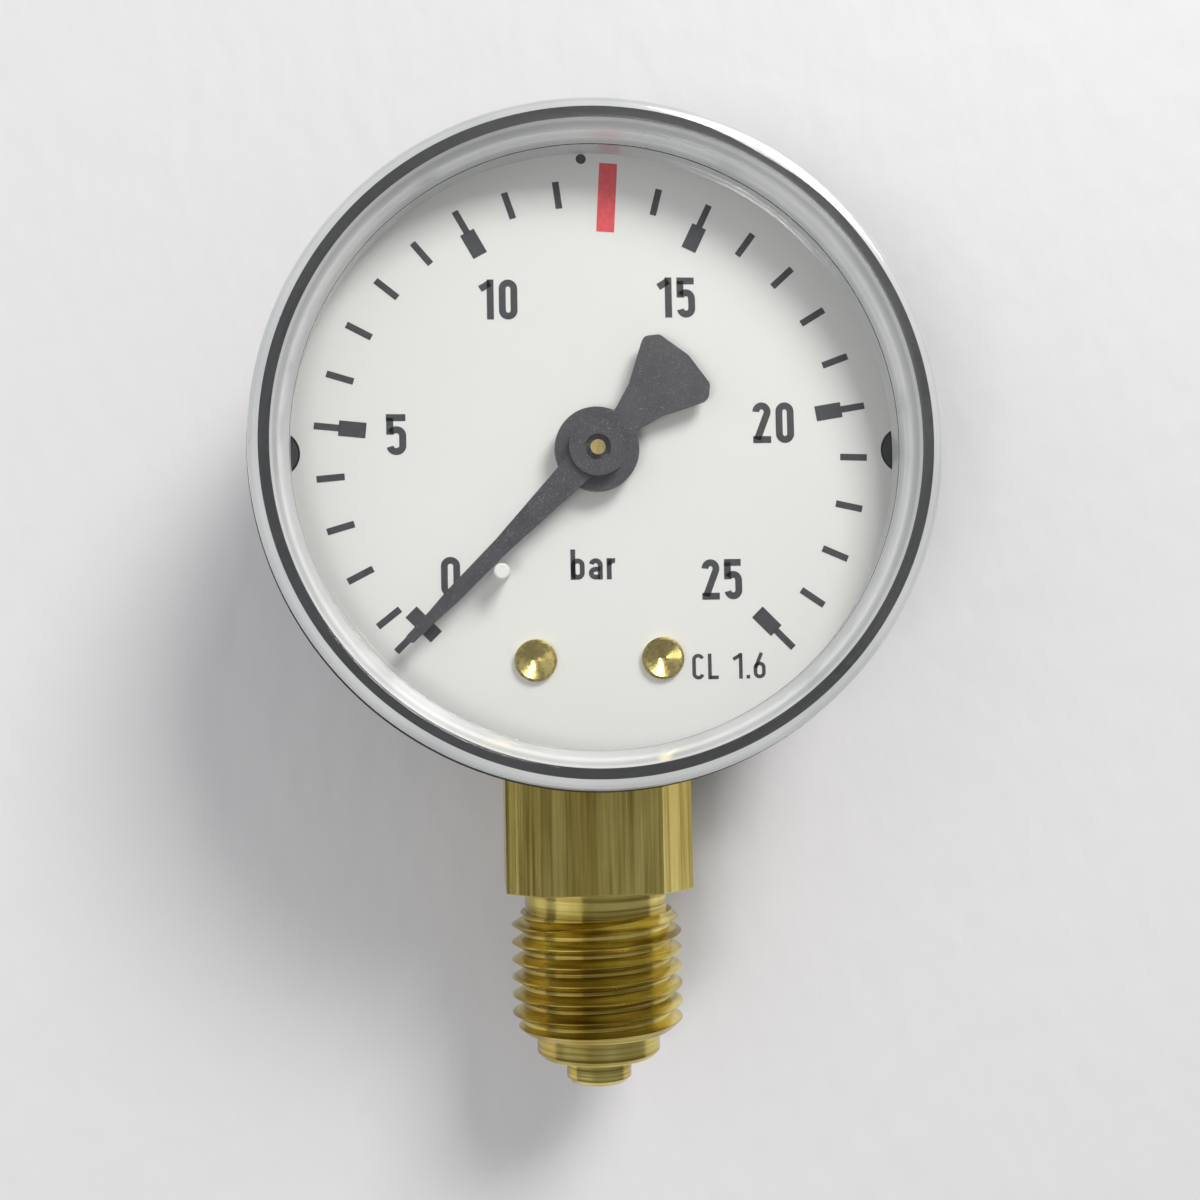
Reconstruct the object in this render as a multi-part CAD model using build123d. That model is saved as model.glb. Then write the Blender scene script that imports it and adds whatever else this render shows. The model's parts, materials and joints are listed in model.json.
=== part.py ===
"""Bourdon-tube pressure gauge, nominal size 50, with a bottom G 1/4 B connection.

Millimetres, +Z up, the dial faces -Y.  The origin is the centre of the sealing face at
the end of the connection's pilot.  Positions on the dial and in the movement are given
as (x, z) from the pointer's axis, and depths as y, which is 0 in the plane of the stem's
axis, negative towards the reader and positive towards the back of the case.
"""
import os
from math import acos, cos, hypot, pi, radians, sin, sqrt, tan

from build123d import *

# --- Connection and socket -------------------------------------------------------------
AXIS_HEIGHT = 45.6           # sealing face to the pointer's axis
SPIGOT_RADIUS = 2.5
SPIGOT_LENGTH = 2.0
PILOT_RADIUS = 4.75
PILOT_LENGTH = 2.0
THREAD_RADIUS = 6.5785       # G 1/4 B major radius
THREAD_PITCH = 1.337
THREAD_DEPTH = 0.856
THREAD_LENGTH = 9.0
THREAD_CHAMFER = 0.75
NECK_RADIUS = 5.5
NECK_LENGTH = 2.0
WRENCH_SIZE = 14.0           # across flats
WRENCH_CHAMFER = 2.5
FLAT_STEP = 0.1              # depth by which the bar steps in at the case
BORE_RADIUS = 1.25
CHANNEL_RADIUS = 0.8
BLOCK_HALF_WIDTH = 8.0
BLOCK_FRONT = -6.3
BLOCK_BACK = 7.0
BLOCK_BOTTOM = -20.6         # below the pointer's axis
BLOCK_TOP = -13.4
TONGUE_HALF_WIDTH = 7.0
TONGUE_FRONT = 2.6
TONGUE_BACK = 5.0
TONGUE_TOP = -6.0

# --- Case, window and dial -------------------------------------------------------------
CASE_RADIUS = 24.7
CASE_BORE = 22.9
CASE_BACK = 10.0
CASE_FLOOR = 8.6
CASE_RIM = -12.0
SHELF_RADIUS = 21.2          # bore of the shelf that carries the dial
WINDOW_RADIUS = 24.5
WINDOW_FRONT = -11.3
WINDOW_THICKNESS = 1.2
WINDOW_FIELD = 21.8          # flat field inside the raised bead
BEAD_INNER = 22.95
BEAD_FRONT = -13.7
SKIRT_RADIUS = 22.75
SKIRT_BORE = 22.3
SKIRT_END = -7.9
SNAP_RADIUS = 23.0
SNAP_DEPTH = -9.2            # middle of the snap bead
DIAL_RADIUS = 22.75
DIAL_FRONT = -7.2
DIAL_BACK = -6.4
DIAL_HOLE = 1.6
NOTCH_CENTRE = 23.4
NOTCH_RADIUS = 1.75
LUG_RADIUS = 1.6
STOP_PIN = (-7.09, -8.94)
STOP_PIN_RADIUS = 0.6
STOP_PIN_FRONT = -9.9
RIVET_X = 4.7
RIVET_Z = -15.4
RIVET_HEAD_RADIUS = 1.55
RIVET_CONE_RADIUS = 1.35
RIVET_CONE_DEPTH = 0.5
RIVET_SHANK_RADIUS = 1.0
CASE_SCREW_X = 4.7
CASE_SCREW_Z = -19.2

# --- Bourdon tube, end piece and link --------------------------------------------------
TUBE_RADIUS = 16.5           # centre line
TUBE_ROOT_ANGLE = 255.0      # anticlockwise from +X, seen from the front
TUBE_CENTRE = 0.5
TUBE_WIDTH = 7.8
TUBE_THICKNESS = 2.4
TUBE_WALL = 0.35
LINK_TIP = (13.0, -1.0)
LINK_TAIL = (6.4, -11.85)
LINK_FRONT = -3.4
LINK_BACK = -2.8
LINK_WIDTH = 1.4
PIN_RADIUS = 0.4
PIN_HEAD_RADIUS = 0.75

# --- Movement --------------------------------------------------------------------------
PLATE_THICKNESS = 0.8
FRONT_PLATE_BACK = -4.6
BACK_PLATE_FRONT = 1.8
PLATE_OUTLINE = ((-7.6, -3.0), (-7.6, 4.2), (-5.6, 5.2), (5.6, 5.2), (7.6, 4.2),
                 (7.6, -8.6), (5.2, -13.1), (-7.4, -13.1), (-7.4, -6.0))
PILLARS = ((-5.7, 3.3), (5.7, 3.3), (-5.7, -11.6))
PILLAR_RADIUS = 1.1
MOVEMENT_SCREWS = ((-4.2, -8.6), (5.4, -8.0))
MODULE = 0.18
PINION_TEETH = 10
SECTOR_TEETH = 120           # on the full circle
PRESSURE_ANGLE = 20.0
TOOTH_SHARE = 0.42           # tooth thickness over pitch, on the pitch circle
CENTRE_DISTANCE = MODULE * (PINION_TEETH + SECTOR_TEETH) / 2
SECTOR_AXIS_ANGLE = 284.0    # direction from the pointer's axis to the sector's axis
GEAR_FRONT = -2.6
GEAR_BACK = -1.6
SPRING_INNER = 1.45
SPRING_OUTER = 4.5
SPRING_TURNS = 4.0
SPRING_THICKNESS = 0.1
SPRING_HEIGHT = 0.6

# --- Pointer ---------------------------------------------------------------------------
POINTER_ANGLE = 225.0        # direction of the tip at zero pressure
POINTER_DISC_RADIUS = 3.1
POINTER_BOSS_RADIUS = 2.1
POINTER_LENGTH = 19.6
BLADE_HALF_WIDTHS = ((0, 1.3), (4.0, 1.0), (10.0, 0.62), (15.2, 0.55), (17.0, 0.42), (19.4, 0.35))
SHAFT_RADIUS = 0.55

DIAL_AXIS = Axis((0, 0, AXIS_HEIGHT), (0, -1, 0))
WRENCH_TOP = AXIS_HEIGHT - CASE_RADIUS - 0.1
SECTOR_AXIS = (CENTRE_DISTANCE * cos(radians(SECTOR_AXIS_ANGLE)),
               CENTRE_DISTANCE * sin(radians(SECTOR_AXIS_ANGLE)))


# --- Helpers ---------------------------------------------------------------------------
def front_plane(y):
    """Plane parallel to the dial at depth y, centred on the pointer's axis."""
    return Plane(origin=(0, y, AXIS_HEIGHT), x_dir=(1, 0, 0), z_dir=(0, -1, 0))


def slab(outline, front, back):
    """Solid with the given (x, z) outline, between two depths."""
    return extrude(front_plane(back) * outline, amount=back - front)


def rod(centre, radius, front, back):
    """Round bar along Y."""
    return slab(Pos(*centre) * Circle(radius), front, back)


def turned_about_dial(points):
    """Solid turned about the pointer's axis from (radius, y) points."""
    profile = Plane(origin=(0, 0, AXIS_HEIGHT)) * Polygon(*points, align=None)
    return revolve(profile, DIAL_AXIS)


def turned_about_stem(points):
    """Solid turned about the stem's axis from (radius, z) points."""
    return revolve(Plane.XZ * Polygon(*points, align=None), Axis.Z)


def polar(radius, degrees):
    return (radius * cos(radians(degrees)), radius * sin(radians(degrees)))


def slotted_head(centre, radius, front, back, slot_width):
    """Cheese head of a small screw, slotted on its front."""
    head = rod(centre, radius, front, back)
    depth = (back - front) * 0.5
    slot = slab(Pos(*centre) * Rectangle(3 * radius, slot_width), front, front + depth)
    return head - slot


def group(solids):
    """Several separate solids in one node."""
    return Compound(children=list(solids))


# --- Socket ----------------------------------------------------------------------------
def bar_section(size, corner):
    """Square bar section with its corners cut off."""
    half = size / 2
    flat = half - corner
    return Polygon((-flat, -half), (flat, -half), (half, -flat), (half, flat),
                   (flat, half), (-flat, half), (-half, flat), (-half, -flat), align=None)


def tube_section(width, thickness):
    """Flat oval of the tube, on the side where its tip ends."""
    section = Rot(0, 0, 90) * SlotOverall(width, thickness)
    return Pos(TUBE_RADIUS, TUBE_CENTRE, AXIS_HEIGHT) * section


def swept_tube(width, thickness):
    """Oval bar along the tube's whole arc."""
    return revolve(tube_section(width, thickness), DIAL_AXIS, TUBE_ROOT_ANGLE)


def thread():
    """External thread, cut as a true helix."""
    start = PILOT_LENGTH
    blank = Pos(0, 0, start) * Cylinder(THREAD_RADIUS, THREAD_LENGTH,
                                        align=(Align.CENTER, Align.CENTER, Align.MIN))
    blank = chamfer(blank.edges().filter_by(GeomType.CIRCLE), THREAD_CHAMFER)
    helix = Helix(pitch=THREAD_PITCH, height=THREAD_LENGTH + 2 * THREAD_PITCH,
                  radius=THREAD_RADIUS - THREAD_DEPTH / 2,
                  center=(0, 0, start - THREAD_PITCH))
    section_plane = Plane(origin=helix @ 0, x_dir=(1, 0, 0), z_dir=helix % 0)
    root_half = 0.12
    crest_half = 0.72
    inside = -THREAD_DEPTH / 2
    outside = THREAD_DEPTH / 2 + 0.15
    section = section_plane * Polygon((inside, root_half), (outside, crest_half),
                                      (outside, -crest_half), (inside, -root_half),
                                      align=None)
    groove = sweep(section, path=helix, is_frenet=True)
    return blank - groove


def socket():
    neck_bottom = PILOT_LENGTH + THREAD_LENGTH
    shoulder = neck_bottom + NECK_LENGTH
    block_bottom = AXIS_HEIGHT + BLOCK_BOTTOM
    pilot_chamfer = 0.35
    body = turned_about_stem((
        (0, -SPIGOT_LENGTH), (SPIGOT_RADIUS - pilot_chamfer, -SPIGOT_LENGTH),
        (SPIGOT_RADIUS, pilot_chamfer - SPIGOT_LENGTH), (SPIGOT_RADIUS, 0),
        (PILOT_RADIUS - pilot_chamfer, 0), (PILOT_RADIUS, pilot_chamfer),
        (PILOT_RADIUS, PILOT_LENGTH), (0, PILOT_LENGTH)))
    body += thread()
    body += Pos(0, 0, neck_bottom) * Cylinder(
        NECK_RADIUS, NECK_LENGTH, align=(Align.CENTER, Align.CENTER, Align.MIN))
    body += Pos(0, 0, shoulder) * extrude(bar_section(WRENCH_SIZE, WRENCH_CHAMFER),
                                          amount=block_bottom - shoulder)
    block_outline = Pos(0, (BLOCK_BOTTOM + BLOCK_TOP) / 2) * Rectangle(
        2 * BLOCK_HALF_WIDTH, BLOCK_TOP - BLOCK_BOTTOM)
    body += slab(block_outline, BLOCK_FRONT, BLOCK_BACK)
    # The wrench flats end at the case, inside which the bar is a little thinner.
    for side in (-1, 1):
        body -= Pos(0, side * (WRENCH_SIZE / 2 - FLAT_STEP), WRENCH_TOP) * Box(
            WRENCH_SIZE, 2.0, block_bottom - WRENCH_TOP,
            align=(Align.CENTER, Align.MIN if side > 0 else Align.MAX, Align.MIN))
    # Further in it is milled back at the front to clear the dial.
    body -= Pos(0, BLOCK_FRONT, AXIS_HEIGHT - CASE_BORE) * Box(
        2 * WRENCH_SIZE, 2.0, CASE_BORE + BLOCK_BOTTOM,
        align=(Align.CENTER, Align.MAX, Align.MIN))
    tongue_outline = Pos(0, (BLOCK_TOP + TONGUE_TOP) / 2) * Rectangle(
        2 * TONGUE_HALF_WIDTH, TONGUE_TOP - BLOCK_TOP)
    body += slab(tongue_outline, TONGUE_FRONT, TONGUE_BACK)

    # The tube's root is soldered into a milled notch, fed by a drilled channel.
    body -= swept_tube(TUBE_WIDTH, TUBE_THICKNESS)
    bore_top = AXIS_HEIGHT - 17.8
    body -= Pos(0, 0, -SPIGOT_LENGTH) * Cylinder(
        BORE_RADIUS, bore_top + SPIGOT_LENGTH, align=(Align.CENTER, Align.CENTER, Align.MIN))
    root_x, root_z = polar(TUBE_RADIUS, TUBE_ROOT_ANGLE)
    bore_end = Vector(0, 0, bore_top)
    root_end = Vector(root_x, TUBE_CENTRE, AXIS_HEIGHT + root_z)
    direction = root_end - bore_end
    body -= Plane(origin=bore_end, z_dir=direction) * Cylinder(
        CHANNEL_RADIUS, direction.length, align=(Align.CENTER, Align.CENTER, Align.MIN))

    for side in (-1, 1):
        body -= rod((side * RIVET_X, RIVET_Z), RIVET_SHANK_RADIUS, BLOCK_FRONT, -3.9)
        body -= rod((side * CASE_SCREW_X, CASE_SCREW_Z), 1.15, 3.0, BLOCK_BACK)
    for place in MOVEMENT_SCREWS:
        body -= rod(place, 0.5, TONGUE_FRONT, TONGUE_BACK)
    return body


# --- Case, window, dial ----------------------------------------------------------------
def case():
    rounding = 0.9
    edge = 0.15
    groove_radius = SNAP_RADIUS + 0.1
    body = turned_about_dial((
        (0, CASE_BACK), (CASE_RADIUS - rounding, CASE_BACK),
        (CASE_RADIUS - 0.25 * rounding, CASE_BACK - 0.25 * rounding),
        (CASE_RADIUS, CASE_BACK - rounding), (CASE_RADIUS, CASE_RIM + edge),
        (CASE_RADIUS - edge, CASE_RIM), (CASE_BORE + edge, CASE_RIM),
        (CASE_BORE, CASE_RIM + edge), (CASE_BORE, SNAP_DEPTH - 0.55),
        (groove_radius, SNAP_DEPTH - 0.25), (groove_radius, SNAP_DEPTH + 0.25),
        (CASE_BORE, SNAP_DEPTH + 0.55), (CASE_BORE, DIAL_BACK),
        (SHELF_RADIUS, DIAL_BACK), (SHELF_RADIUS, -5.4), (CASE_BORE, -3.7),
        (CASE_BORE, CASE_FLOOR), (0, CASE_FLOOR)))
    for side in (-1, 1):
        lug = Pos(side * NOTCH_CENTRE, 0) * Circle(LUG_RADIUS)
        body += slab(lug & Circle(CASE_BORE + 0.1), DIAL_FRONT, DIAL_BACK)
        place = (side * CASE_SCREW_X, CASE_SCREW_Z)
        body += rod(place, 2.7, BLOCK_BACK + 0.05, CASE_FLOOR)
        body -= rod(place, 1.3, BLOCK_BACK, CASE_BACK)
        body -= rod(place, 2.4, CASE_FLOOR + 0.1, CASE_BACK)
    opening = extrude(bar_section(WRENCH_SIZE + 0.3, WRENCH_CHAMFER), amount=7.0)
    body -= Pos(0, 0, AXIS_HEIGHT - 26.5) * opening
    # The dial's shelf is broken where the socket's block stands.
    gap = Pos(0, -SHELF_RADIUS) * Rectangle(2 * BLOCK_HALF_WIDTH + 0.6, 4.0)
    body -= slab(gap & Circle(CASE_BORE), DIAL_BACK, -3.0)
    return body


def window():
    """Clear cap: flat field, raised bead round it and a skirt that snaps into the case."""
    inner_face = WINDOW_FRONT + WINDOW_THICKNESS
    flange_back = CASE_RIM - 0.05
    profile = Polygon(
        (0, WINDOW_FRONT), (WINDOW_FIELD, WINDOW_FRONT), (BEAD_INNER, BEAD_FRONT),
        (WINDOW_RADIUS, BEAD_FRONT), (WINDOW_RADIUS, flange_back),
        (SKIRT_RADIUS, flange_back), (SKIRT_RADIUS, SNAP_DEPTH - 0.5),
        (SNAP_RADIUS, SNAP_DEPTH - 0.2), (SNAP_RADIUS, SNAP_DEPTH + 0.2),
        (SKIRT_RADIUS, SNAP_DEPTH + 0.5), (SKIRT_RADIUS, SKIRT_END), (SKIRT_BORE, SKIRT_END),
        (SKIRT_BORE, inner_face), (0, inner_face), align=None)
    bead = [v for v in profile.vertices() if abs(v.Y - BEAD_FRONT) < 0.01]
    profile = fillet(bead, 0.4)
    return revolve(Plane(origin=(0, 0, AXIS_HEIGHT)) * profile, DIAL_AXIS)


def dial():
    """Moulded plate with a notch at each side and the zero stop."""
    body = rod((0, 0), DIAL_RADIUS, DIAL_FRONT, DIAL_BACK)
    body -= rod((0, 0), DIAL_HOLE, DIAL_FRONT, DIAL_BACK)
    for side in (-1, 1):
        body -= rod((side * NOTCH_CENTRE, 0), NOTCH_RADIUS, DIAL_FRONT, DIAL_BACK)
        body -= rod((side * RIVET_X, RIVET_Z), RIVET_SHANK_RADIUS, DIAL_FRONT, DIAL_BACK)
    stop_pin = rod(STOP_PIN, STOP_PIN_RADIUS, STOP_PIN_FRONT, DIAL_FRONT)
    stop_pin = fillet(stop_pin.edges().sort_by(Axis.Y)[0], 0.2)
    return body + stop_pin


def dial_rivets():
    """Rivets that hold the dial on the socket, each with a conical recess."""
    def rivet(x):
        head_front = DIAL_FRONT - 0.55
        rivet_axis = Axis((x, 0, AXIS_HEIGHT + RIVET_Z), (0, -1, 0))
        outline = Polygon((0, -4.0), (RIVET_SHANK_RADIUS, -4.0),
                          (RIVET_SHANK_RADIUS, DIAL_FRONT), (RIVET_HEAD_RADIUS, DIAL_FRONT),
                          (RIVET_HEAD_RADIUS, head_front + 0.15),
                          (RIVET_HEAD_RADIUS - 0.15, head_front),
                          (RIVET_CONE_RADIUS, head_front),
                          (0, head_front + RIVET_CONE_DEPTH), align=None)
        return revolve(Plane(origin=(x, 0, AXIS_HEIGHT + RIVET_Z)) * outline, rivet_axis)

    return group(rivet(side * RIVET_X) for side in (-1, 1))


def case_screws():
    """Screws from the back of the case into the socket's block."""
    def screw(x):
        place = (x, CASE_SCREW_Z)
        head_front = CASE_FLOOR + 0.1
        body = rod(place, 2.1, head_front, 9.7) + rod(place, 1.15, 3.2, head_front)
        for turn in (0, 90):
            recess = Pos(*place) * Rot(0, 0, turn) * Rectangle(2.4, 0.55)
            body -= slab(recess, 9.1, 9.7)
        return body

    return group(screw(side * CASE_SCREW_X) for side in (-1, 1))


# --- Pressure element ------------------------------------------------------------------
def bourdon_tube():
    wall = 2 * TUBE_WALL
    return (swept_tube(TUBE_WIDTH, TUBE_THICKNESS)
            - swept_tube(TUBE_WIDTH - wall, TUBE_THICKNESS - wall))


def tube_end_piece():
    """Plug soldered over the tube's tip, with an ear for the link."""
    fit = 0.02
    block = Pos(TUBE_RADIUS, 0) * Rectangle(3.6, 4.0)
    block = fillet(block.vertices(), 0.5)
    body = slab(block, TUBE_CENTRE - TUBE_WIDTH / 2 - 0.5, TUBE_CENTRE + TUBE_WIDTH / 2 + 0.5)
    body -= swept_tube(TUBE_WIDTH + 2 * fit, TUBE_THICKNESS + 2 * fit)
    ear = Pos(*LINK_TIP) * Circle(0.95) + Pos(14.2, -1.0) * Rectangle(2.4, 1.9)
    body += slab(ear, GEAR_FRONT, GEAR_BACK)
    return body - rod(LINK_TIP, PIN_RADIUS, GEAR_FRONT, GEAR_BACK)


def link():
    """Flat strip from the end piece to the sector's tail."""
    across = LINK_TIP[0] - LINK_TAIL[0]
    rise = LINK_TIP[1] - LINK_TAIL[1]
    length = hypot(across, rise)
    middle = ((LINK_TIP[0] + LINK_TAIL[0]) / 2, (LINK_TIP[1] + LINK_TAIL[1]) / 2)
    strip = Rot(0, 0, acos(across / length) * 180 / pi) * SlotCenterToCenter(length, LINK_WIDTH)
    body = slab(Pos(*middle) * strip, LINK_FRONT, LINK_BACK)
    body -= rod(LINK_TIP, PIN_RADIUS + 0.05, LINK_FRONT, LINK_BACK)
    return body - rod(LINK_TAIL, PIN_RADIUS + 0.1, LINK_FRONT, LINK_BACK)


def link_pin(place):
    """Headed pin pressed into an ear, on which the link turns."""
    head_back = LINK_FRONT - 0.1
    return (rod(place, PIN_RADIUS, head_back, GEAR_BACK)
            + rod(place, PIN_HEAD_RADIUS, head_back - 0.35, head_back))


# --- Movement --------------------------------------------------------------------------
def plate(front, holes):
    outline = make_face(Polyline(*PLATE_OUTLINE, close=True))
    outline = fillet(outline.vertices(), 0.8)
    body = slab(outline, front, front + PLATE_THICKNESS)
    for place, radius in holes:
        body -= rod(place, radius, front, front + PLATE_THICKNESS)
    return body


def front_plate():
    holes = [((0, 0), SHAFT_RADIUS + 0.04), (SECTOR_AXIS, 0.44)]
    holes += [(place, 0.5) for place in PILLARS]
    return plate(FRONT_PLATE_BACK - PLATE_THICKNESS, holes)


def back_plate():
    holes = [((0, 0), 0.39), (SECTOR_AXIS, 0.44), (spring_end(), 0.35)]
    holes += [(place, 0.7) for place in PILLARS]
    holes += [(place, 0.55) for place in MOVEMENT_SCREWS]
    return plate(BACK_PLATE_FRONT, holes)


def pillars():
    """Spacers riveted into the back plate and tapped for the front plate's screws."""
    riveted_end = BACK_PLATE_FRONT + PLATE_THICKNESS
    return group(
        rod(place, PILLAR_RADIUS, FRONT_PLATE_BACK, BACK_PLATE_FRONT)
        + rod(place, 0.7, BACK_PLATE_FRONT, riveted_end)
        - rod(place, 0.4, FRONT_PLATE_BACK, FRONT_PLATE_BACK + 2.2)
        for place in PILLARS)


def plate_screws():
    head_back = FRONT_PLATE_BACK - PLATE_THICKNESS
    return group(
        slotted_head(place, 0.95, head_back - 0.55, head_back, 0.25)
        + rod(place, 0.4, head_back, FRONT_PLATE_BACK + 2.0)
        for place in PILLARS)


def movement_screws():
    """Screws that hold the back plate on the socket's tongue."""
    return group(
        slotted_head(place, 1.1, BACK_PLATE_FRONT - 0.65, BACK_PLATE_FRONT, 0.3)
        + rod(place, 0.5, BACK_PLATE_FRONT, TONGUE_BACK - 0.2)
        for place in MOVEMENT_SCREWS)


def involute_half_angle(radius, pitch_radius, half_at_pitch):
    """Half angle of an involute tooth at a radius."""
    base_radius = pitch_radius * cos(radians(PRESSURE_ANGLE))

    def involute(at_radius):
        pressure = acos(min(1.0, base_radius / at_radius))
        return tan(pressure) - pressure

    return half_at_pitch + involute(pitch_radius) - involute(max(radius, base_radius))


def tooth_outline(centre_angle, pitch_radius, teeth, root, tip):
    """Points of one external tooth, anticlockwise, with its middle at centre_angle."""
    half_at_pitch = pi * TOOTH_SHARE / teeth
    base_radius = pitch_radius * cos(radians(PRESSURE_ANGLE))
    flank_start = max(root, base_radius)
    steps = 4
    radii = [flank_start + (tip - flank_start) * i / steps for i in range(steps + 1)]
    if root < flank_start:
        radii.insert(0, root)
    halves = [involute_half_angle(r, pitch_radius, half_at_pitch) for r in radii]
    rising = [(r, centre_angle - half) for r, half in zip(radii, halves)]
    falling = [(r, centre_angle + half) for r, half in zip(radii, halves)]
    return [(r * cos(a), r * sin(a)) for r, a in rising + falling[::-1]]


def pinion_arbor():
    """Pointer shaft with the pinion cut on it."""
    pitch_radius = MODULE * PINION_TEETH / 2
    root = pitch_radius - 0.14
    tip = pitch_radius + 0.16
    outline = []
    for index in range(PINION_TEETH):
        middle = radians(SECTOR_AXIS_ANGLE) + 2 * pi * index / PINION_TEETH
        outline += tooth_outline(middle, pitch_radius, PINION_TEETH, root, tip)
    pinion = slab(Polygon(*outline, align=None), GEAR_FRONT - 0.5, GEAR_BACK + 0.5)
    end_float = 0.25
    body = pinion + rod((0, 0), 0.65, FRONT_PLATE_BACK + end_float,
                        BACK_PLATE_FRONT - end_float)
    body += rod((0, 0), 0.35, BACK_PLATE_FRONT - end_float, BACK_PLATE_FRONT + 0.7)
    return body + rod((0, 0), SHAFT_RADIUS, -9.65, FRONT_PLATE_BACK + end_float)


def sector_arbor():
    end_float = 0.25
    body = rod(SECTOR_AXIS, 0.8, FRONT_PLATE_BACK + end_float, BACK_PLATE_FRONT - end_float)
    return body + rod(SECTOR_AXIS, 0.4, FRONT_PLATE_BACK - 0.7, BACK_PLATE_FRONT + 0.7)


def sector_gear():
    """Toothed sector with its tail, cut from one sheet."""
    pitch_radius = MODULE * SECTOR_TEETH / 2
    root = pitch_radius - 0.22
    tip = pitch_radius + 0.1
    mesh_angle = SECTOR_AXIS_ANGLE - 180
    step = 360 / SECTOR_TEETH
    first, last = -9, 1          # teeth either side of the mesh point at zero pressure
    outline = [(0, 0)]
    outline.append(polar(root, mesh_angle + (first - 0.1) * step))
    for index in range(first, last + 1):
        middle = radians(mesh_angle + (index + 0.5) * step)
        outline += tooth_outline(middle, pitch_radius, SECTOR_TEETH, root, tip)
    outline.append(polar(root, mesh_angle + (last + 1.1) * step))
    blank = Polygon(*outline, align=None)
    opening_low = mesh_angle + (first + 1.6) * step
    opening_high = mesh_angle + (last - 0.6) * step
    opening = Polygon(polar(3.2, opening_low + 3), polar(8.8, opening_low),
                      polar(9.1, (opening_low + opening_high) / 2),
                      polar(8.8, opening_high), polar(3.2, opening_high - 3), align=None)
    blank -= fillet(opening.vertices(), 0.35)
    tail = (LINK_TAIL[0] - SECTOR_AXIS[0], LINK_TAIL[1] - SECTOR_AXIS[1])
    arm = Polygon((0.3, -1.1), (tail[0], tail[1] - 0.75), (tail[0], tail[1] + 0.75),
                  (0.3, 1.1), align=None)
    blank += Circle(1.7) + arm + Pos(*tail) * Circle(0.95)
    blank -= Circle(0.8) + Pos(*tail) * Circle(PIN_RADIUS)
    return slab(Pos(*SECTOR_AXIS) * blank, GEAR_FRONT, GEAR_BACK)


def spiral_point(share, offset):
    """Point on the hairspring, at a share of its length, offset sideways."""
    radius = SPRING_INNER + (SPRING_OUTER - SPRING_INNER) * share + offset
    return polar(radius, 360 * SPRING_TURNS * share)


def spring_end():
    return spiral_point(1.0, 0.0)


def hairspring_strip(extra):
    half = SPRING_THICKNESS / 2 + extra
    steps = 96
    shares = [i / steps for i in range(steps + 1)]
    outer = Spline(*[spiral_point(s, half) for s in shares])
    inner = Spline(*[spiral_point(s, -half) for s in shares])
    ends = [Line(outer @ 0, inner @ 0), Line(outer @ 1, inner @ 1)]
    strip = make_face(Curve() + [outer, inner] + ends)
    return slab(strip, -SPRING_HEIGHT / 2, SPRING_HEIGHT / 2)


def hairspring_collet():
    """Split ring on the pinion arbor that holds the hairspring's inner end."""
    ring = Circle(SPRING_INNER - SPRING_THICKNESS / 2) - Circle(0.65)
    ring -= Pos(-1.1, 0) * Rectangle(1.2, 0.25)
    return slab(ring, -0.7, 0.7)


def hairspring_stud():
    """Pin on the back plate, split to hold the hairspring's outer end."""
    pin = rod(spring_end(), 0.45, -0.6, BACK_PLATE_FRONT)
    pin += rod(spring_end(), 0.35, BACK_PLATE_FRONT, BACK_PLATE_FRONT + PLATE_THICKNESS)
    return pin - hairspring_strip(0.0)


# --- Pointer ---------------------------------------------------------------------------
def pointer():
    """Moulded pointer: disc under the hub, tapered blade and fan-shaped counterweight."""
    disc = rod((0, 0), POINTER_DISC_RADIUS, -8.8, -8.1)
    upper_edge = [(-reach, half) for reach, half in BLADE_HALF_WIDTHS]
    lower_edge = [(x, -half) for x, half in reversed(upper_edge)]
    blade = Polygon(*upper_edge, (-POINTER_LENGTH, 0), *lower_edge, align=None)
    fan = Polygon((0, 1.25), (3.1, 1.1), (5.2, 1.7), (8.4, 3.35), (9.35, 2.6), (9.75, 0),
                  (9.35, -2.6), (8.4, -3.35), (5.2, -1.7), (3.1, -1.1), (0, -1.25),
                  align=None)
    corners = [v for v in fan.vertices() if v.X > 8.0]
    fan = fillet(corners, 0.55)
    outline = Rot(0, 0, POINTER_ANGLE - 180) * (blade + fan)
    body = disc + slab(outline, -9.4, -8.8)
    body += rod((0, 0), POINTER_BOSS_RADIUS, -9.7, -8.8)
    body -= rod((0, 0), SHAFT_RADIUS, -9.8, -8.0)
    return body - rod((0, 0), 0.95, -9.8, -9.2)


NODES = {
    "case": case,
    "window": window,
    "dial": dial,
    "dial_rivets": dial_rivets,
    "socket": socket,
    "case_screws": case_screws,
    "bourdon_tube": bourdon_tube,
    "tube_end_piece": tube_end_piece,
    "link": link,
    "link_pin_tip": lambda: link_pin(LINK_TIP),
    "link_pin_sector": lambda: link_pin(LINK_TAIL),
    "front_plate": front_plate,
    "back_plate": back_plate,
    "pillars": pillars,
    "plate_screws": plate_screws,
    "movement_screws": movement_screws,
    "sector_gear": sector_gear,
    "sector_arbor": sector_arbor,
    "pinion_arbor": pinion_arbor,
    "hairspring": lambda: hairspring_strip(0.0),
    "hairspring_collet": hairspring_collet,
    "hairspring_stud": hairspring_stud,
    "pointer": pointer,
}

os.makedirs("parts", exist_ok=True)
for name, build in NODES.items():
    export_step(build(), f"parts/{name}.step")
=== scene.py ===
import json
import math

import bmesh
import bpy
from mathutils import Matrix, Vector


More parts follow.
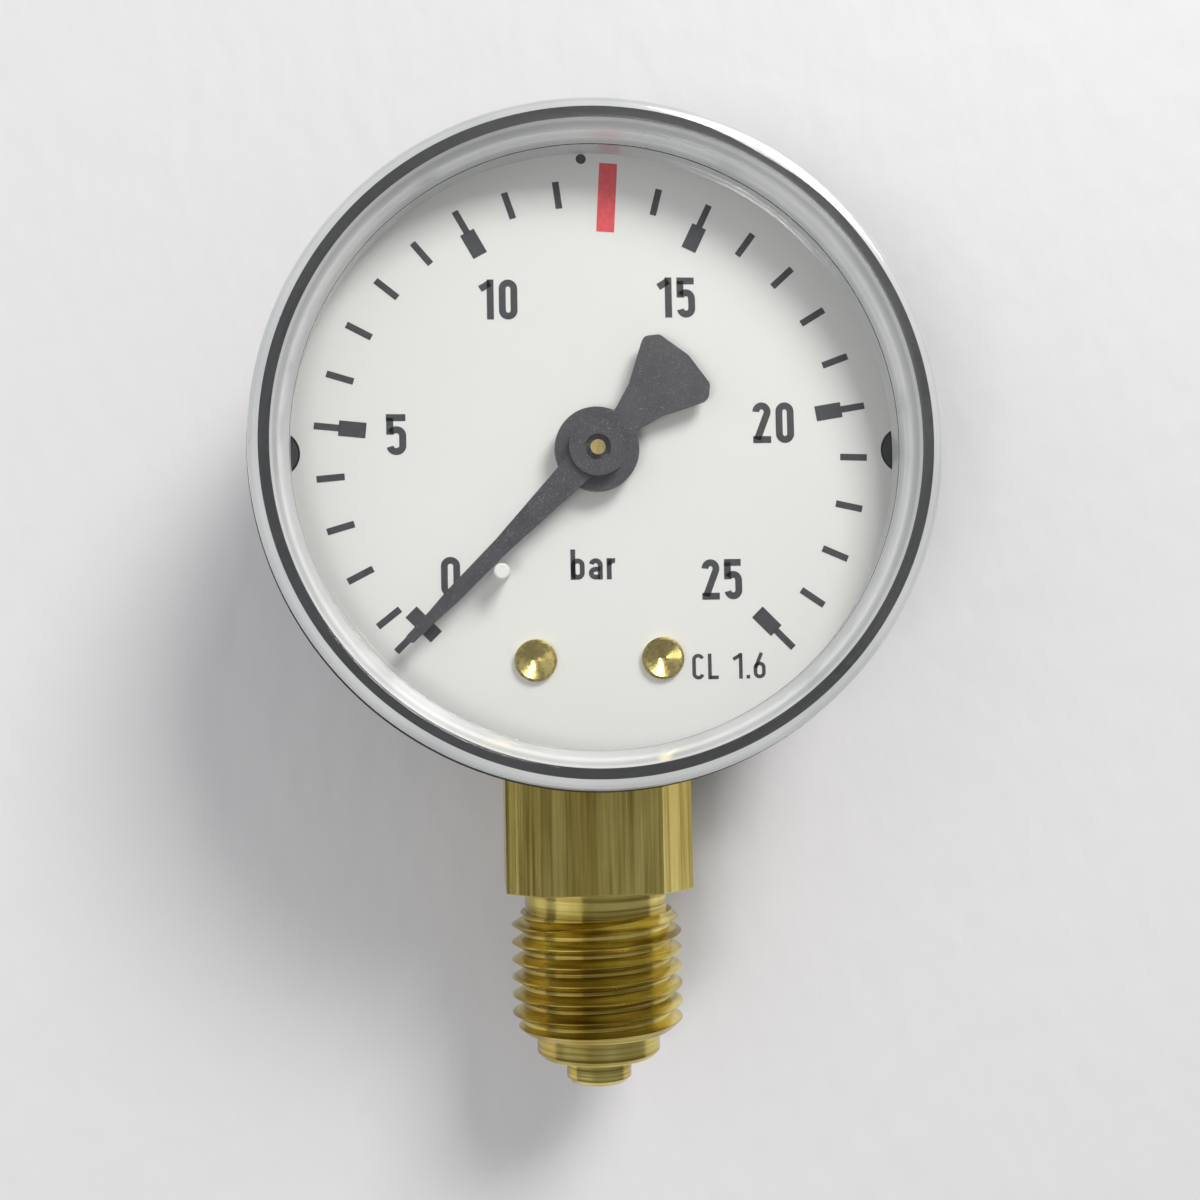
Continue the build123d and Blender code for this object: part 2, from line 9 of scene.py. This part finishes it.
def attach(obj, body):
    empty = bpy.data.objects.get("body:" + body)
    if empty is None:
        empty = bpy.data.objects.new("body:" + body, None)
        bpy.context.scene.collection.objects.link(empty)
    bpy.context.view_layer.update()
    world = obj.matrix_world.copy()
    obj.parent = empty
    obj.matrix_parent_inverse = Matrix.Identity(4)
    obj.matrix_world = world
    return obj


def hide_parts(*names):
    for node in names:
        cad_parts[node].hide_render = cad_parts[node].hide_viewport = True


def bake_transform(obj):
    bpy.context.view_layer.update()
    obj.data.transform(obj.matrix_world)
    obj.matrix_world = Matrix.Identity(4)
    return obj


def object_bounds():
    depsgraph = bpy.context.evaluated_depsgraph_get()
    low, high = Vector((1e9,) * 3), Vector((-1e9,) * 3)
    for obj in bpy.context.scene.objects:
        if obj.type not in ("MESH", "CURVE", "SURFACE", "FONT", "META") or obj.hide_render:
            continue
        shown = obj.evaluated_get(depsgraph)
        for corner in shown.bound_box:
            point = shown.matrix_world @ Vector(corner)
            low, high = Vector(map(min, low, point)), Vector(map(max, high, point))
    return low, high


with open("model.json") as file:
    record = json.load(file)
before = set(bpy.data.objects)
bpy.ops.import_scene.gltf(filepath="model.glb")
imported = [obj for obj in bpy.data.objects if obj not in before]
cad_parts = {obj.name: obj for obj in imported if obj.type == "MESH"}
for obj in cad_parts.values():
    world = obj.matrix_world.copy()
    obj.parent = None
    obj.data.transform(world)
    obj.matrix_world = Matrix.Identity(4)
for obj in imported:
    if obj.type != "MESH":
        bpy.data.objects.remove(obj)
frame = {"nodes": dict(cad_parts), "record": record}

cad_low, cad_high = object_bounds()
nodes = frame["nodes"]
MM = 0.001
AXIS_Z = 45.6 * MM           # height of the pointer's axis
DIAL_FACE = -7.2 * MM
PRINT_THICKNESS = 0.02 * MM

# Dial print, in millimetres and degrees anticlockwise from +X.
ZERO_ANGLE = 224.5
FULL_SCALE_ANGLE = -45.5
DEGREES_PER_BAR = 10.99
ZERO_BAR = 18.0              # radius of the bar across the zero mark
MARK_WIDTH = 0.5
BLOCK_WIDTH = 1.15           # thick inner part of a main mark
BLOCK_INNER = 16.95

# Window, in millimetres.
FIELD_RADIUS = 21.8          # flat field inside the raised bead
FIELD_FRONT = -11.3
FIELD_BACK = -10.1
BEAD_INNER = 22.95
BEAD_OUTER = 23.65
BEAD_FRONT = -13.7
WINDOW_RADIUS = 24.5
FLANGE_BACK = -12.05
SKIRT_RADIUS = 22.75
SKIRT_BORE = 22.3
SKIRT_END = -7.9

scene = bpy.context.scene
scene.view_settings.view_transform = "Standard"


# --- Camera ----------------------------------------------------------------------------
def make_camera():
    data = bpy.data.cameras.new("camera")
    camera = bpy.data.objects.new("camera", data)
    scene.collection.objects.link(camera)
    data.lens = 43.5
    data.sensor_width = 36
    data.clip_start = 0.005
    data.clip_end = 5
    look = Vector((0.085, 0.995, 0.053)).normalized()
    up = Vector((0.015, -0.054, 0.998))
    up = (up - up.dot(look) * look).normalized()
    right = look.cross(up)
    camera.location = Vector((-8.93, -113.6, 29.0)) * MM
    camera.rotation_mode = "QUATERNION"
    rotation = [[right[i], up[i], -look[i]] for i in range(3)]
    camera.rotation_quaternion = Matrix(rotation).to_quaternion()
    scene.camera = camera


make_camera()


# --- Materials -------------------------------------------------------------------------
class Shader:
    """A small wrapper round one material's node tree."""

    def __init__(self, name, **sockets):
        self.material = bpy.data.materials.new(name)
        self.material.use_nodes = True
        self.tree = self.material.node_tree
        self.bsdf = self.tree.nodes["Principled BSDF"]
        for key, value in sockets.items():
            self.bsdf.inputs[key.replace("_", " ")].default_value = value
        self.coords = self.tree.nodes.new("ShaderNodeTexCoord").outputs["Object"]

    def add(self, kind, **values):
        node = self.tree.nodes.new("ShaderNode" + kind)
        for key, value in values.items():
            setattr(node, key, value)
        return node

    def link(self, start, end):
        self.tree.links.new(start, end)

    def noise(self, scale, stretch=(1, 1, 1), detail=4.0, roughness=0.55):
        """Noise in object space, with the pattern stretched along any axis."""
        mapping = self.add("Mapping")
        mapping.inputs["Scale"].default_value = stretch
        self.link(self.coords, mapping.inputs["Vector"])
        texture = self.add("TexNoise")
        texture.inputs["Scale"].default_value = scale
        texture.inputs["Detail"].default_value = detail
        texture.inputs["Roughness"].default_value = roughness
        self.link(mapping.outputs["Vector"], texture.inputs["Vector"])
        return texture.outputs["Fac"]

    def ramp(self, factor, *stops):
        """Colour ramp with (position, colour or grey) stops."""
        ramp = self.add("ValToRGB")
        elements = ramp.color_ramp.elements
        while len(elements) < len(stops):
            elements.new(0.5)
        for element, (position, colour) in zip(elements, stops):
            element.position = position
            if isinstance(colour, (int, float)):
                colour = (colour, colour, colour)
            element.color = (*colour, 1)
        self.link(factor, ramp.inputs["Fac"])
        return ramp.outputs["Color"]

    def mix(self, factor, first, second, mode="MIX"):
        node = self.add("Mix", data_type="RGBA", blend_type=mode)
        if isinstance(factor, float):
            node.inputs[0].default_value = factor
        else:
            self.link(factor, node.inputs[0])
        for socket, value in ((node.inputs[6], first), (node.inputs[7], second)):
            if isinstance(value, tuple):
                socket.default_value = (*value, 1)
            else:
                self.link(value, socket)
        return node.outputs[2]

    def bump(self, height, strength, distance):
        """Adds a bump on top of any earlier one."""
        node = self.add("Bump")
        node.inputs["Strength"].default_value = strength
        node.inputs["Distance"].default_value = distance
        self.link(height, node.inputs["Height"])
        normal = self.bsdf.inputs["Normal"]
        if normal.is_linked:
            self.link(normal.links[0].from_socket, node.inputs["Normal"])
        self.link(node.outputs["Normal"], normal)

    def colour(self, source):
        self.link(source, self.bsdf.inputs["Base Color"])

    def roughness(self, source):
        self.link(source, self.bsdf.inputs["Roughness"])


def brass_material(name, tint, streak, streak_scale, rough=(0.16, 0.32)):
    """Bright brass, darker in soft patches, with cutting marks along one direction."""
    shader = Shader(name, Metallic=1.0)
    cloud = shader.noise(260)
    dark = tuple(c * 0.72 for c in tint)
    shader.colour(shader.ramp(cloud, (0.3, dark), (0.7, tint)))
    marks = shader.noise(streak_scale, streak, detail=3.0)
    shader.roughness(shader.ramp(marks, (0.35, rough[0]), (0.7, rough[1])))
    shader.bump(marks, 0.25, 0.02 * MM)
    return shader.material


def socket_material():
    """Drawn bar above, turned stud below: streaks along Z on the square, rings on the stud."""
    shader = Shader("socket_brass", Metallic=1.0)
    height = shader.add("SeparateXYZ")
    shader.link(shader.coords, height.inputs["Vector"])
    above = shader.add("MapRange")
    above.inputs["From Min"].default_value = 13.0 * MM
    above.inputs["From Max"].default_value = 13.1 * MM
    shader.link(height.outputs["Z"], above.inputs["Value"])
    drawn = shader.noise(1500, (1, 1, 0.02), detail=6.0, roughness=0.65)
    turned = shader.noise(3000, (0.02, 0.02, 1), detail=3.0)
    marks = shader.mix(above.outputs["Result"], turned, drawn)
    cloud = shader.noise(200, (1, 1, 0.25))
    tint = shader.ramp(cloud, (0.3, (0.55, 0.41, 0.08)), (0.7, (0.94, 0.81, 0.29)))
    streaked = shader.ramp(marks, (0.35, (0.46, 0.40, 0.26)), (0.6, (1, 1, 1)))
    shader.colour(shader.mix(1.0, tint, streaked, "MULTIPLY"))
    shader.roughness(shader.ramp(marks, (0.3, 0.10), (0.7, 0.27)))
    shader.bump(marks, 0.5, 0.02 * MM)
    return shader.material


def black_plastic(name, base, grain, rough):
    shader = Shader(name, Specular_IOR_Level=0.5)
    fine = shader.noise(grain, detail=3.0)
    wide = shader.noise(grain * 0.06)
    lighter = tuple(c * 1.5 + 0.004 for c in base)
    shader.colour(shader.ramp(wide, (0.35, base), (0.75, lighter)))
    shader.roughness(shader.ramp(fine, (0.3, rough), (0.7, rough + 0.14)))
    shader.bump(fine, 0.4, 0.03 * MM)
    return shader.material


def pointer_plastic():
    """Dark grey paint with a fine sparkling grain."""
    shader = Shader("pointer_plastic", Specular_IOR_Level=0.45)
    grain = shader.noise(9000, detail=2.0)
    wide = shader.noise(420)
    base = shader.ramp(wide, (0.35, (0.032, 0.031, 0.036)), (0.75, (0.050, 0.049, 0.056)))
    sparkle = shader.ramp(grain, (0.60, (0.0, 0.0, 0.0)), (0.74, (0.16, 0.155, 0.17)))
    shader.colour(shader.mix(1.0, base, sparkle, "ADD"))
    shader.roughness(shader.ramp(grain, (0.3, 0.38), (0.7, 0.6)))
    shader.bump(grain, 0.6, 0.03 * MM)
    return shader.material


def clear_plastic():
    shader = Shader("clear_plastic", Transmission_Weight=1.0, IOR=1.49,
                    Base_Color=(0.985, 0.99, 0.99, 1))
    scuffs = shader.noise(700, (1, 1, 0.25), detail=6.0)
    shader.roughness(shader.ramp(scuffs, (0.55, 0.0), (0.85, 0.035)))
    shader.bump(shader.noise(60), 0.02, 0.05 * MM)
    return shader.material


def painted_dial_reflection():
    """The sides of the window's bead: pale, glossy, with fine rings round the axis. The pale colour
    is a painted reflection of the white dial seen through clear plastic; the gloss and the rings are
    the plastic's own.
    """
    shader = Shader("painted_dial_reflection", Transmission_Weight=0.25, IOR=1.49, Coat_Weight=1.0,
                    Coat_Roughness=0.04)
    parts = shader.add("SeparateXYZ")
    shader.link(shader.coords, parts.inputs["Vector"])
    height = shader.add("Math", operation="SUBTRACT")
    height.inputs[1].default_value = AXIS_Z
    shader.link(parts.outputs["Z"], height.inputs[0])
    around = shader.add("CombineXYZ")
    shader.link(parts.outputs["X"], around.inputs["X"])
    shader.link(height.outputs["Value"], around.inputs["Y"])
    radius = shader.add("VectorMath", operation="LENGTH")
    shader.link(around.outputs["Vector"], radius.inputs[0])
    rings = shader.add("TexNoise", noise_dimensions="1D")
    rings.inputs["Scale"].default_value = 4000
    shader.link(radius.outputs["Value"], rings.inputs["W"])
    cloud = shader.noise(90, detail=3.0)
    tone = shader.mix(0.45, rings.outputs["Fac"], cloud)
    # Painted reflection: the pale grey stands in for the white dial refracted through the clear bead.
    shader.colour(shader.ramp(tone, (0.35, (0.62, 0.64, 0.65)), (0.62, (0.86, 0.87, 0.86))))
    shader.roughness(shader.ramp(cloud, (0.3, 0.25), (0.7, 0.4)))
    shader.bump(rings.outputs["Fac"], 0.2, 0.01 * MM)
    return shader.material


def white_plastic():
    shader = Shader("dial_plastic", Specular_IOR_Level=0.4)
    wide = shader.noise(50)
    shader.colour(shader.ramp(wide, (0.3, (0.80, 0.80, 0.765)), (0.7, (0.83, 0.83, 0.795))))
    fine = shader.noise(6000, detail=2.0)
    shader.roughness(shader.ramp(fine, (0.3, 0.42), (0.7, 0.55)))
    shader.bump(fine, 0.15, 0.01 * MM)
    return shader.material


def ink(name, base):
    """Printed ink, a little uneven where it was pressed on."""
    shader = Shader(name, Specular_IOR_Level=0.3)
    patches = shader.noise(2600, detail=5.0)
    faded = tuple(min(1.0, c * 1.25 + 0.012) for c in base)
    shader.colour(shader.ramp(patches, (0.4, base), (0.75, faded)))
    shader.roughness(shader.ramp(patches, (0.3, 0.5), (0.7, 0.65)))
    shader.bump(patches, 0.2, 0.01 * MM)
    return shader.material


def steel_material():
    shader = Shader("plated_steel", Metallic=1.0)
    marks = shader.noise(2500, (1, 0.1, 1), detail=3.0)
    shader.colour(shader.ramp(marks, (0.3, 0.48), (0.7, 0.62)))
    shader.roughness(shader.ramp(marks, (0.3, 0.24), (0.7, 0.4)))
    shader.bump(marks, 0.2, 0.01 * MM)
    return shader.material


def backdrop_material():
    """Pale embossed sheet.  Its back is left open, so that it never hides the gauge."""
    shader = Shader("backdrop", Base_Color=(0.80, 0.79, 0.80, 1), Roughness=0.6)
    pebbles = shader.noise(420, (1, 1, 0.55), detail=2.0, roughness=0.4)
    shader.bump(pebbles, 0.35, 0.4 * MM)
    output = shader.tree.nodes["Material Output"]
    clear = shader.add("BsdfTransparent")
    side = shader.add("NewGeometry")
    choose = shader.add("MixShader")
    shader.link(side.outputs["Backfacing"], choose.inputs[0])
    shader.link(shader.bsdf.outputs[0], choose.inputs[1])
    shader.link(clear.outputs[0], choose.inputs[2])
    shader.link(choose.outputs[0], output.inputs["Surface"])
    return shader.material


BRASS = brass_material("brass", (0.80, 0.64, 0.25), (1, 1, 0.1), 1500)
BRONZE = brass_material("bronze", (0.62, 0.40, 0.20), (1, 0.08, 1), 1200, (0.25, 0.42))
SOCKET = socket_material()
CASE = black_plastic("case_plastic", (0.020, 0.020, 0.022), 2600, 0.34)
POINTER = pointer_plastic()
RIVET = brass_material("rivet_brass", (0.55, 0.44, 0.15), (1, 1, 1), 2200, (0.2, 0.36))
CLEAR = clear_plastic()
DIAL_REFLECTION_PAINT = painted_dial_reflection()
DIAL = white_plastic()
BLACK_INK = ink("black_ink", (0.04, 0.042, 0.046))
RED_INK = ink("red_ink", (0.72, 0.085, 0.095))
STEEL = steel_material()

BY_SLOT = {"black_plastic": CASE, "clear_plastic": CLEAR, "white_plastic": DIAL,
           "brass": BRASS, "bronze": BRONZE, "steel": STEEL, "pointer_black": POINTER}


def paint(obj, material):
    if not obj.material_slots:
        obj.data.materials.append(material)
    for place in obj.material_slots:
        place.material = material


for part in frame["record"]["subparts"]:
    paint(nodes[part["node"]], BY_SLOT[part["material_slot"]])
paint(nodes["socket"], SOCKET)
paint(nodes["dial_rivets"], RIVET)


# --- Mesh helpers ----------------------------------------------------------------------
def finish_mesh(bm, name, material, body, smooth=True):
    mesh = bpy.data.meshes.new(name)
    bmesh.ops.recalc_face_normals(bm, faces=bm.faces)
    bm.to_mesh(mesh)
    bm.free()
    obj = bpy.data.objects.new(name, mesh)
    scene.collection.objects.link(obj)
    obj.data.materials.append(material)
    if smooth:
        mesh.shade_smooth()
        mesh.set_sharp_from_angle(angle=math.radians(35))
    if body:
        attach(obj, body)
    return obj


def lathe(name, profile, material, body, centre=(0.0, AXIS_Z), segments=256):
    """Closed (radius, y) profile in millimetres, turned about a line along Y."""
    bm = bmesh.new()
    rings = []
    for radius, depth in profile:
        if radius < 1e-6:
            rings.append([bm.verts.new((centre[0], depth * MM, centre[1]))])
            continue
        ring = []
        for i in range(segments):
            angle = 2 * math.pi * i / segments
            ring.append(bm.verts.new((centre[0] + radius * MM * math.cos(angle), depth * MM,
                                      centre[1] + radius * MM * math.sin(angle))))
        rings.append(ring)
    for a, b in zip(rings, rings[1:] + rings[:1]):
        if len(a) == 1 and len(b) == 1:
            continue
        for i in range(segments):
            j = (i + 1) % segments
            corners = [a[i % len(a)], a[j % len(a)], b[j % len(b)], b[i % len(b)]]
            face = list(dict.fromkeys(corners))
            bm.faces.new(face)
    return finish_mesh(bm, name, material, body)


def rounded(points, steps=8):
    """Outline from (x, y) or (x, y, corner radius) points, with the corners rounded."""
    result = []
    count = len(points)
    for index, point in enumerate(points):
        here = Vector(point[:2])
        if len(point) < 3:
            result.append(tuple(here))
            continue
        radius = point[2]
        before = (Vector(points[index - 1][:2]) - here).normalized()
        after = (Vector(points[(index + 1) % count][:2]) - here).normalized()
        half = before.angle(after) / 2
        reach = radius / math.tan(half)
        centre = here + (before + after).normalized() * (radius / math.sin(half))
        start = here + before * reach - centre
        end = here + after * reach - centre
        first = math.atan2(start.y, start.x)
        sweep = math.atan2(end.y, end.x) - first
        sweep = (sweep + math.pi) % (2 * math.pi) - math.pi
        for step in range(steps + 1):
            turn = first + sweep * step / steps
            result.append((centre.x + radius * math.cos(turn),
                           centre.y + radius * math.sin(turn)))
    return result


# --- Window ----------------------------------------------------------------------------
def window():
    """Clear cap. The sides of its bead and the inside of its skirt carry a pale painted reflection of
    the white dial instead of the light refracted through the clear plastic.
    """
    profile = [
        (0, FIELD_FRONT), (FIELD_RADIUS, FIELD_FRONT, 0.1), (BEAD_INNER, BEAD_FRONT, 0.2),
        (BEAD_OUTER, BEAD_FRONT), (WINDOW_RADIUS - 0.15, BEAD_FRONT + 0.2, 0.2),
        (WINDOW_RADIUS, BEAD_FRONT + 0.7, 0.2), (WINDOW_RADIUS, FLANGE_BACK),
        (SKIRT_RADIUS, FLANGE_BACK), (SKIRT_RADIUS, SKIRT_END), (SKIRT_BORE, SKIRT_END),
        (SKIRT_BORE, FIELD_BACK, 0.1), (0, FIELD_BACK)]
    cap = lathe("window_clear", rounded(profile), CLEAR, "housing", segments=512)
    # Second slot: the pale painted reflection, put on the bead's inner slope, its outer rim and the
    # skirt's bore.
    cap.data.materials.append(DIAL_REFLECTION_PAINT)
    for face in cap.data.polygons:
        radius = math.hypot(face.center.x, face.center.z - AXIS_Z) / MM
        depth = face.center.y / MM
        slope = FIELD_RADIUS + 0.05 < radius < BEAD_INNER - 0.05 and depth < FIELD_FRONT
        rim = radius > BEAD_OUTER and depth < FLANGE_BACK - 0.05
        bore = abs(radius - SKIRT_BORE) < 0.05 and depth > FIELD_BACK
        if slope or rim or bore:
            face.material_index = 1
    cap.visible_shadow = False
    cap.visible_diffuse = False
    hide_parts("window")


window()


# --- Bourdon tube ----------------------------------------------------------------------
def bourdon_tube():
    """Copy of the tube, from its soldered root to its swinging tip, baked in place."""
    source = nodes["bourdon_tube"]
    tube = bpy.data.objects.new("bourdon_tube_bending", source.data.copy())
    tube.matrix_world = source.matrix_world
    scene.collection.objects.link(tube)
    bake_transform(tube)
    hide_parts("bourdon_tube")


bourdon_tube()


# --- Dial print ------------------------------------------------------------------------
def extrude_outline(bm, outline):
    """Thin raised polygon on the dial from (x, z) points in millimetres."""
    back = [bm.verts.new((x * MM, DIAL_FACE + 0.001 * MM, AXIS_Z + z * MM)) for x, z in outline]
    front = [bm.verts.new((x * MM, DIAL_FACE - PRINT_THICKNESS, AXIS_Z + z * MM))
             for x, z in outline]
    count = len(outline)
    bm.faces.new(front)
    bm.faces.new(back[::-1])
    for i in range(count):
        j = (i + 1) % count
        bm.faces.new((front[i], back[i], back[j], front[j]))


def ribbon(bm, points, width, closed=False):
    """Line of constant width through the points."""
    half = width / 2
    points = [Vector(p) for p in points]
    count = len(points)
    left, right = [], []
    for i, point in enumerate(points):
        if closed:
            before, after = points[i - 1], points[(i + 1) % count]
        else:
            before, after = points[max(i - 1, 0)], points[min(i + 1, count - 1)]
        first = (point - before).normalized() if before != point else None
        second = (after - point).normalized() if after != point else None
        first = first or second
        second = second or first
        direction = (first + second).normalized()
        across = Vector((-direction.y, direction.x))
        reach = half / max(0.35, direction.dot(first))
        left.append(point + across * reach)
        right.append(point - across * reach)
    spans = count if closed else count - 1
    for i in range(spans):
        j = (i + 1) % count
        extrude_outline(bm, [left[i], right[i], right[j], left[j]])


def arc(cx, cy, rx, ry, start, end, steps=14):
    """Points of an elliptical arc, in degrees."""
    return [(cx + rx * math.cos(math.radians(start + (end - start) * i / steps)),
             cy + ry * math.sin(math.radians(start + (end - start) * i / steps)))
            for i in range(steps + 1)]


# Each glyph is drawn on a box of height 1: (advance, [(points, closed), ...]).
def glyph(character, stroke):
    w = 0.46                 # width between stroke middles plus one stroke
    lo, hi = stroke / 2, 1 - stroke / 2
    left, right = stroke / 2, w - stroke / 2
    mid = w / 2
    rx = (right - left) / 2
    if character == "0":
        loop = arc(mid, hi - rx, rx, rx, 0, 180) + arc(mid, lo + rx, rx, rx, 180, 360)
        return w, [(loop, True)]
    if character == "1":
        stem = right - 0.04
        return 0.42, [([(stem, 0), (stem, 1)], False), ([(left, 0.76), (stem, hi)], False)]
    if character == "2":
        curve = arc(mid, hi - rx, rx, rx, 180, -25, 18)
        return w, [(curve + [(left + 0.02, lo)], False), ([(left - stroke / 2, lo), (w, lo)], False)]
    if character == "5":
        bowl = arc(mid, lo + rx, rx, rx, -170, 0) + arc(mid, 0.62 - rx, rx, rx, 0, 150)
        return w, [(bowl, False), ([(left, 0.5), (left, hi)], False),
                   ([(left - stroke / 2, hi), (w - 0.02, hi)], False)]
    if character == "6":
        bowl = (arc(mid, lo + rx, rx, rx, 180, 360) + arc(mid, 0.56 - rx + 0.02, rx, rx, 0, 180))
        return w, [(bowl, True), ([(left, 0.4), (mid + 0.08, 1)], False)]
    if character == "b":
        bowl = (arc(mid, lo + rx, rx, rx, 180, 360) + arc(mid, 0.7 - stroke / 2 - rx, rx, rx, 0, 180))
        return w, [(bowl, True), ([(left, 0), (left, 1)], False)]
    if character == "a":
        top = 0.7 - stroke / 2
        hood = arc(mid, top - rx, rx, rx, 165, 0) + [(right, 0)]
        bowl = arc(mid, lo + 0.13, rx, 0.13, 270, 90, 12)
        foot = [(right, lo), (mid, lo)] + bowl[1:] + [(right, lo + 0.26)]
        return w, [(hood, False), (foot, False)]
    if character == "r":
        top = 0.7 - stroke / 2
        return 0.34, [([(left, 0), (left, 0.7)], False),
                      (arc(left + 0.17, top - 0.16, 0.17, 0.16, 180, 80, 8), False)]
    if character == "C":
        curve = (arc(mid, hi - rx, rx, rx, 15, 180) + arc(mid, lo + rx, rx, rx, 180, 345))
        return w, [(curve, False)]
    if character == "L":
        return 0.40, [([(left, 1), (left, 0)], False), ([(left, lo), (0.40, lo)], False)]
    if character == ".":
        return stroke, [([(stroke / 2, 0), (stroke / 2, stroke)], False)]
    return 0.22, []


def lettering(name, text, low, high, stroke, material, gap=0.13):
    """Fits a line of condensed lettering in a box of (x, z) millimetres on the dial."""
    placed = []
    cursor = 0.0
    for character in text:
        advance, lines = glyph(character, stroke)
        placed.append((cursor, lines))
        cursor += advance + gap
    total = cursor - gap
    scale_z = high[1] - low[1]
    scale_x = (high[0] - low[0]) / total
    bm = bmesh.new()
    width = stroke * scale_z
    for offset, lines in placed:
        for points, closed in lines:
            moved = [(low[0] + (offset + x) * scale_x, low[1] + z * scale_z) for x, z in points]
            ribbon(bm, moved, width, closed)
    finish_mesh(bm, name, material, "housing", smooth=False)


def bar_angle(value):
    """Direction of a scale value, anticlockwise from +X."""
    if value == 0:
        return ZERO_ANGLE
    return FULL_SCALE_ANGLE + (25 - value) * DEGREES_PER_BAR


def mark(bm, angle, inner, outer, width):
    """Radial bar of the scale."""
    c, s = math.cos(math.radians(angle)), math.sin(math.radians(angle))
    half = width / 2
    corners = ((inner, half), (inner, -half), (outer, -half), (outer, half))
    extrude_outline(bm, [(r * c - t * s, r * s + t * c) for r, t in corners])


def dial_print():
    bm = bmesh.new()
    for value in range(26):
        angle = bar_angle(value)
        if value == 13:
            continue
        if value == 0:
            mark(bm, angle, BLOCK_INNER, 20.8, MARK_WIDTH)
            mark(bm, angle, ZERO_BAR - BLOCK_WIDTH / 2, ZERO_BAR + BLOCK_WIDTH / 2, 2.6)
        elif value % 5:
            mark(bm, angle, 18.52, 20.57, MARK_WIDTH)
        else:
            mark(bm, angle, 18.9, 20.75, MARK_WIDTH)
            mark(bm, angle, BLOCK_INNER, 18.95, BLOCK_WIDTH)
    extrude_outline(bm, arc(-0.68, 22.17, 0.38, 0.38, 0, 348, 28))
    finish_mesh(bm, "print_scale", BLACK_INK, "housing", smooth=False)
    bm = bmesh.new()
    mark(bm, bar_angle(13), 16.65, 21.9, 1.35)
    finish_mesh(bm, "print_red_mark", RED_INK, "housing", smooth=False)
    stroke = 0.17
    for text, low, high in (
            ("0", (-11.55, -10.61), (-10.12, -7.69)), ("5", (-15.41, -0.14), (-13.92, 2.89)),
            ("10", (-8.62, 9.95), (-5.61, 12.96)), ("15", (4.72, 10.12), (7.73, 13.17)),
            ("20", (11.90, 0.59), (15.02, 3.67)), ("25", (7.77, -11.12), (10.77, -8.11))):
        lettering("print_" + text, text, low, high, stroke, BLACK_INK)
    lettering("print_unit", "bar", (-2.01, -9.50), (1.44, -7.25), 0.16, BLACK_INK)
    lettering("print_class", "CL 1.6", (6.89, -17.03), (12.40, -15.13), 0.14, BLACK_INK, 0.14)


dial_print()


# --- Stage and light -------------------------------------------------------------------
def backdrop():
    bm = bmesh.new()
    size = 0.9
    behind = cad_high.y + 0.3 * MM
    corners = [bm.verts.new((x * size, behind, AXIS_Z + z * size))
               for x, z in ((-1, -1), (1, -1), (1, 1), (-1, 1))]
    bm.faces.new(corners)
    mesh = bpy.data.meshes.new("backdrop")
    bm.normal_update()
    bm.to_mesh(mesh)
    bm.free()
    obj = bpy.data.objects.new("backdrop", mesh)
    scene.collection.objects.link(obj)
    obj.data.materials.append(backdrop_material())


def area_light(name, position, target, size, power, colour=(1, 1, 1)):
    data = bpy.data.lights.new(name, "AREA")
    data.shape = "RECTANGLE"
    data.size, data.size_y = size
    data.energy = power
    data.color = colour
    light = bpy.data.objects.new(name, data)
    scene.collection.objects.link(light)
    light.location = position
    light.rotation_mode = "QUATERNION"
    toward = Vector(target) - Vector(position)
    light.rotation_quaternion = toward.to_track_quat("-Z", "Y")
    return light


backdrop()
area_light("window_light", (0.25, -0.42, 0.44), (0, 0, AXIS_Z), (0.26, 0.22), 3.0,
           (1.0, 0.99, 0.97))
area_light("fill_light", (-0.35, -0.30, 0.10), (0, 0, AXIS_Z), (0.4, 0.4), 0.3,
           (0.95, 0.96, 1.0))
front = area_light("front_light", (-0.16, -0.40, -0.06), (0, 0, AXIS_Z), (0.12, 0.12), 0.4)
front.visible_glossy = False  # it only lifts the shadows

world = bpy.data.worlds.new("world")
scene.world = world
world.use_nodes = True
world.node_tree.nodes["Background"].inputs["Color"].default_value = (0.93, 0.94, 0.96, 1)
world.node_tree.nodes["Background"].inputs["Strength"].default_value = 0.3
